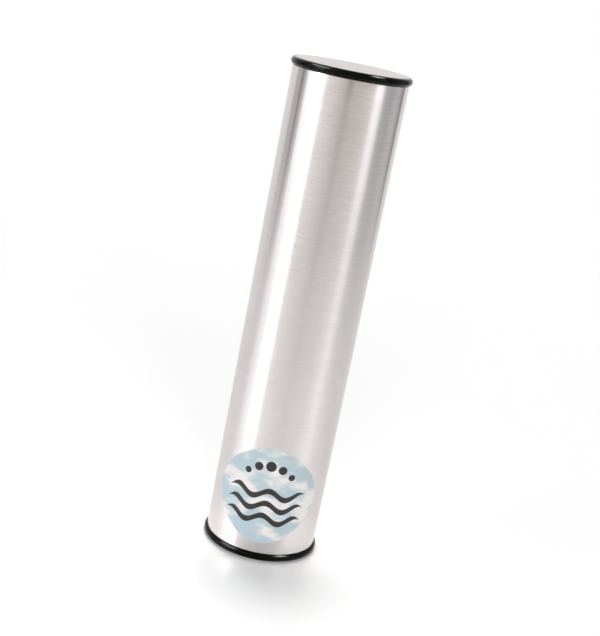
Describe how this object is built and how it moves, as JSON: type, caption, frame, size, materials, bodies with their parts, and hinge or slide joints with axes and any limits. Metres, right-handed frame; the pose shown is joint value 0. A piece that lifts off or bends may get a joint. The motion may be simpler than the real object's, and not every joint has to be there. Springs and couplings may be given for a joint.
{
  "type": "hand shaker",
  "caption": "Tube hand shaker: brushed metal tube with black rim rings and flat metal end discs, a round sticker near one end, and loose steel shot inside that rattles.",
  "frame": {"origin": "centre of the bottom end disc's outer face, on which the shaker stands", "axes": "+Z along the tube, from the end with the sticker to the plain end; -Y is the side that the sticker faces"},
  "size_m": [0.053, 0.053, 0.2224],
  "materials": {
    "tube_aluminium": "brushed round the tube, satin",
    "disc_aluminium": "satin",
    "ring_plastic": "glossy black moulding",
    "label_vinyl": "printed vinyl, semi-gloss",
    "shot_steel": "bright"
  },
  "bodies": {
    "shell": {"tube_body": "tube_aluminium", "top_rim_ring": "ring_plastic", "bottom_rim_ring": "ring_plastic", "top_end_disc": "disc_aluminium", "bottom_end_disc": "disc_aluminium", "label": "label_vinyl"},
    "shot_pellet_01": {"shot_pellet_01": "shot_steel"},
    "shot_pellet_02": {"shot_pellet_02": "shot_steel"},
    "shot_pellet_03": {"shot_pellet_03": "shot_steel"},
    "shot_pellet_04": {"shot_pellet_04": "shot_steel"},
    "shot_pellet_05": {"shot_pellet_05": "shot_steel"},
    "shot_pellet_06": {"shot_pellet_06": "shot_steel"},
    "shot_pellet_07": {"shot_pellet_07": "shot_steel"},
    "shot_pellet_08": {"shot_pellet_08": "shot_steel"},
    "shot_pellet_09": {"shot_pellet_09": "shot_steel"},
    "shot_pellet_10": {"shot_pellet_10": "shot_steel"},
    "shot_pellet_11": {"shot_pellet_11": "shot_steel"},
    "shot_pellet_12": {"shot_pellet_12": "shot_steel"},
    "shot_pellet_13": {"shot_pellet_13": "shot_steel"},
    "shot_pellet_14": {"shot_pellet_14": "shot_steel"},
    "shot_pellet_15": {"shot_pellet_15": "shot_steel"},
    "shot_pellet_16": {"shot_pellet_16": "shot_steel"},
    "shot_pellet_17": {"shot_pellet_17": "shot_steel"},
    "shot_pellet_18": {"shot_pellet_18": "shot_steel"},
    "shot_pellet_19": {"shot_pellet_19": "shot_steel"},
    "shot_pellet_20": {"shot_pellet_20": "shot_steel"},
    "shot_pellet_21": {"shot_pellet_21": "shot_steel"},
    "shot_pellet_22": {"shot_pellet_22": "shot_steel"},
    "shot_pellet_23": {"shot_pellet_23": "shot_steel"},
    "shot_pellet_24": {"shot_pellet_24": "shot_steel"},
    "shot_pellet_25": {"shot_pellet_25": "shot_steel"},
    "shot_pellet_26": {"shot_pellet_26": "shot_steel"},
    "shot_pellet_27": {"shot_pellet_27": "shot_steel"},
    "shot_pellet_28": {"shot_pellet_28": "shot_steel"},
    "shot_pellet_29": {"shot_pellet_29": "shot_steel"},
    "shot_pellet_30": {"shot_pellet_30": "shot_steel"},
    "shot_pellet_31": {"shot_pellet_31": "shot_steel"},
    "shot_pellet_32": {"shot_pellet_32": "shot_steel"},
    "shot_pellet_33": {"shot_pellet_33": "shot_steel"},
    "shot_pellet_34": {"shot_pellet_34": "shot_steel"},
    "shot_pellet_35": {"shot_pellet_35": "shot_steel"},
    "shot_pellet_36": {"shot_pellet_36": "shot_steel"},
    "shot_pellet_37": {"shot_pellet_37": "shot_steel"}
  },
  "joints": [
    {"name": "shot_pellet_01_throw", "type": "slide", "parent": "shell", "child": "shot_pellet_01", "axis": [0, 0, 1], "range_m": [0, 0.2144]},
    {"name": "shot_pellet_02_throw", "type": "slide", "parent": "shell", "child": "shot_pellet_02", "axis": [0, 0, 1], "range_m": [0, 0.2144]},
    {"name": "shot_pellet_03_throw", "type": "slide", "parent": "shell", "child": "shot_pellet_03", "axis": [0, 0, 1], "range_m": [0, 0.2144]},
    {"name": "shot_pellet_04_throw", "type": "slide", "parent": "shell", "child": "shot_pellet_04", "axis": [0, 0, 1], "range_m": [0, 0.2144]},
    {"name": "shot_pellet_05_throw", "type": "slide", "parent": "shell", "child": "shot_pellet_05", "axis": [0, 0, 1], "range_m": [0, 0.2144]},
    {"name": "shot_pellet_06_throw", "type": "slide", "parent": "shell", "child": "shot_pellet_06", "axis": [0, 0, 1], "range_m": [0, 0.2144]},
    {"name": "shot_pellet_07_throw", "type": "slide", "parent": "shell", "child": "shot_pellet_07", "axis": [0, 0, 1], "range_m": [0, 0.2144]},
    {"name": "shot_pellet_08_throw", "type": "slide", "parent": "shell", "child": "shot_pellet_08", "axis": [0, 0, 1], "range_m": [0, 0.2144]},
    {"name": "shot_pellet_09_throw", "type": "slide", "parent": "shell", "child": "shot_pellet_09", "axis": [0, 0, 1], "range_m": [0, 0.2144]},
    {"name": "shot_pellet_10_throw", "type": "slide", "parent": "shell", "child": "shot_pellet_10", "axis": [0, 0, 1], "range_m": [0, 0.2144]},
    {"name": "shot_pellet_11_throw", "type": "slide", "parent": "shell", "child": "shot_pellet_11", "axis": [0, 0, 1], "range_m": [0, 0.2144]},
    {"name": "shot_pellet_12_throw", "type": "slide", "parent": "shell", "child": "shot_pellet_12", "axis": [0, 0, 1], "range_m": [0, 0.2144]},
    {"name": "shot_pellet_13_throw", "type": "slide", "parent": "shell", "child": "shot_pellet_13", "axis": [0, 0, 1], "range_m": [0, 0.2144]},
    {"name": "shot_pellet_14_throw", "type": "slide", "parent": "shell", "child": "shot_pellet_14", "axis": [0, 0, 1], "range_m": [0, 0.2144]},
    {"name": "shot_pellet_15_throw", "type": "slide", "parent": "shell", "child": "shot_pellet_15", "axis": [0, 0, 1], "range_m": [0, 0.2144]},
    {"name": "shot_pellet_16_throw", "type": "slide", "parent": "shell", "child": "shot_pellet_16", "axis": [0, 0, 1], "range_m": [0, 0.2144]},
    {"name": "shot_pellet_17_throw", "type": "slide", "parent": "shell", "child": "shot_pellet_17", "axis": [0, 0, 1], "range_m": [0, 0.2144]},
    {"name": "shot_pellet_18_throw", "type": "slide", "parent": "shell", "child": "shot_pellet_18", "axis": [0, 0, 1], "range_m": [0, 0.2144]},
    {"name": "shot_pellet_19_throw", "type": "slide", "parent": "shell", "child": "shot_pellet_19", "axis": [0, 0, 1], "range_m": [0, 0.2144]},
    {"name": "shot_pellet_20_throw", "type": "slide", "parent": "shell", "child": "shot_pellet_20", "axis": [0, 0, 1], "range_m": [0, 0.2144]},
    {"name": "shot_pellet_21_throw", "type": "slide", "parent": "shell", "child": "shot_pellet_21", "axis": [0, 0, 1], "range_m": [0, 0.2144]},
    {"name": "shot_pellet_22_throw", "type": "slide", "parent": "shell", "child": "shot_pellet_22", "axis": [0, 0, 1], "range_m": [0, 0.2144]},
    {"name": "shot_pellet_23_throw", "type": "slide", "parent": "shell", "child": "shot_pellet_23", "axis": [0, 0, 1], "range_m": [0, 0.2144]},
    {"name": "shot_pellet_24_throw", "type": "slide", "parent": "shell", "child": "shot_pellet_24", "axis": [0, 0, 1], "range_m": [0, 0.2144]},
    {"name": "shot_pellet_25_throw", "type": "slide", "parent": "shell", "child": "shot_pellet_25", "axis": [0, 0, 1], "range_m": [0, 0.2144]},
    {"name": "shot_pellet_26_throw", "type": "slide", "parent": "shell", "child": "shot_pellet_26", "axis": [0, 0, 1], "range_m": [0, 0.2144]},
    {"name": "shot_pellet_27_throw", "type": "slide", "parent": "shell", "child": "shot_pellet_27", "axis": [0, 0, 1], "range_m": [0, 0.2144]},
    {"name": "shot_pellet_28_throw", "type": "slide", "parent": "shell", "child": "shot_pellet_28", "axis": [0, 0, 1], "range_m": [0, 0.2144]},
    {"name": "shot_pellet_29_throw", "type": "slide", "parent": "shell", "child": "shot_pellet_29", "axis": [0, 0, 1], "range_m": [0, 0.2144]},
    {"name": "shot_pellet_30_throw", "type": "slide", "parent": "shell", "child": "shot_pellet_30", "axis": [0, 0, 1], "range_m": [0, 0.2144]},
    {"name": "shot_pellet_31_throw", "type": "slide", "parent": "shell", "child": "shot_pellet_31", "axis": [0, 0, 1], "range_m": [0, 0.2144]},
    {"name": "shot_pellet_32_throw", "type": "slide", "parent": "shell", "child": "shot_pellet_32", "axis": [0, 0, 1], "range_m": [0, 0.2144]},
    {"name": "shot_pellet_33_throw", "type": "slide", "parent": "shell", "child": "shot_pellet_33", "axis": [0, 0, 1], "range_m": [0, 0.2144]},
    {"name": "shot_pellet_34_throw", "type": "slide", "parent": "shell", "child": "shot_pellet_34", "axis": [0, 0, 1], "range_m": [0, 0.2144]},
    {"name": "shot_pellet_35_throw", "type": "slide", "parent": "shell", "child": "shot_pellet_35", "axis": [0, 0, 1], "range_m": [0, 0.2144]},
    {"name": "shot_pellet_36_throw", "type": "slide", "parent": "shell", "child": "shot_pellet_36", "axis": [0, 0, 1], "range_m": [0, 0.2144]},
    {"name": "shot_pellet_37_throw", "type": "slide", "parent": "shell", "child": "shot_pellet_37", "axis": [0, 0, 1], "range_m": [0, 0.2144]}
  ]
}
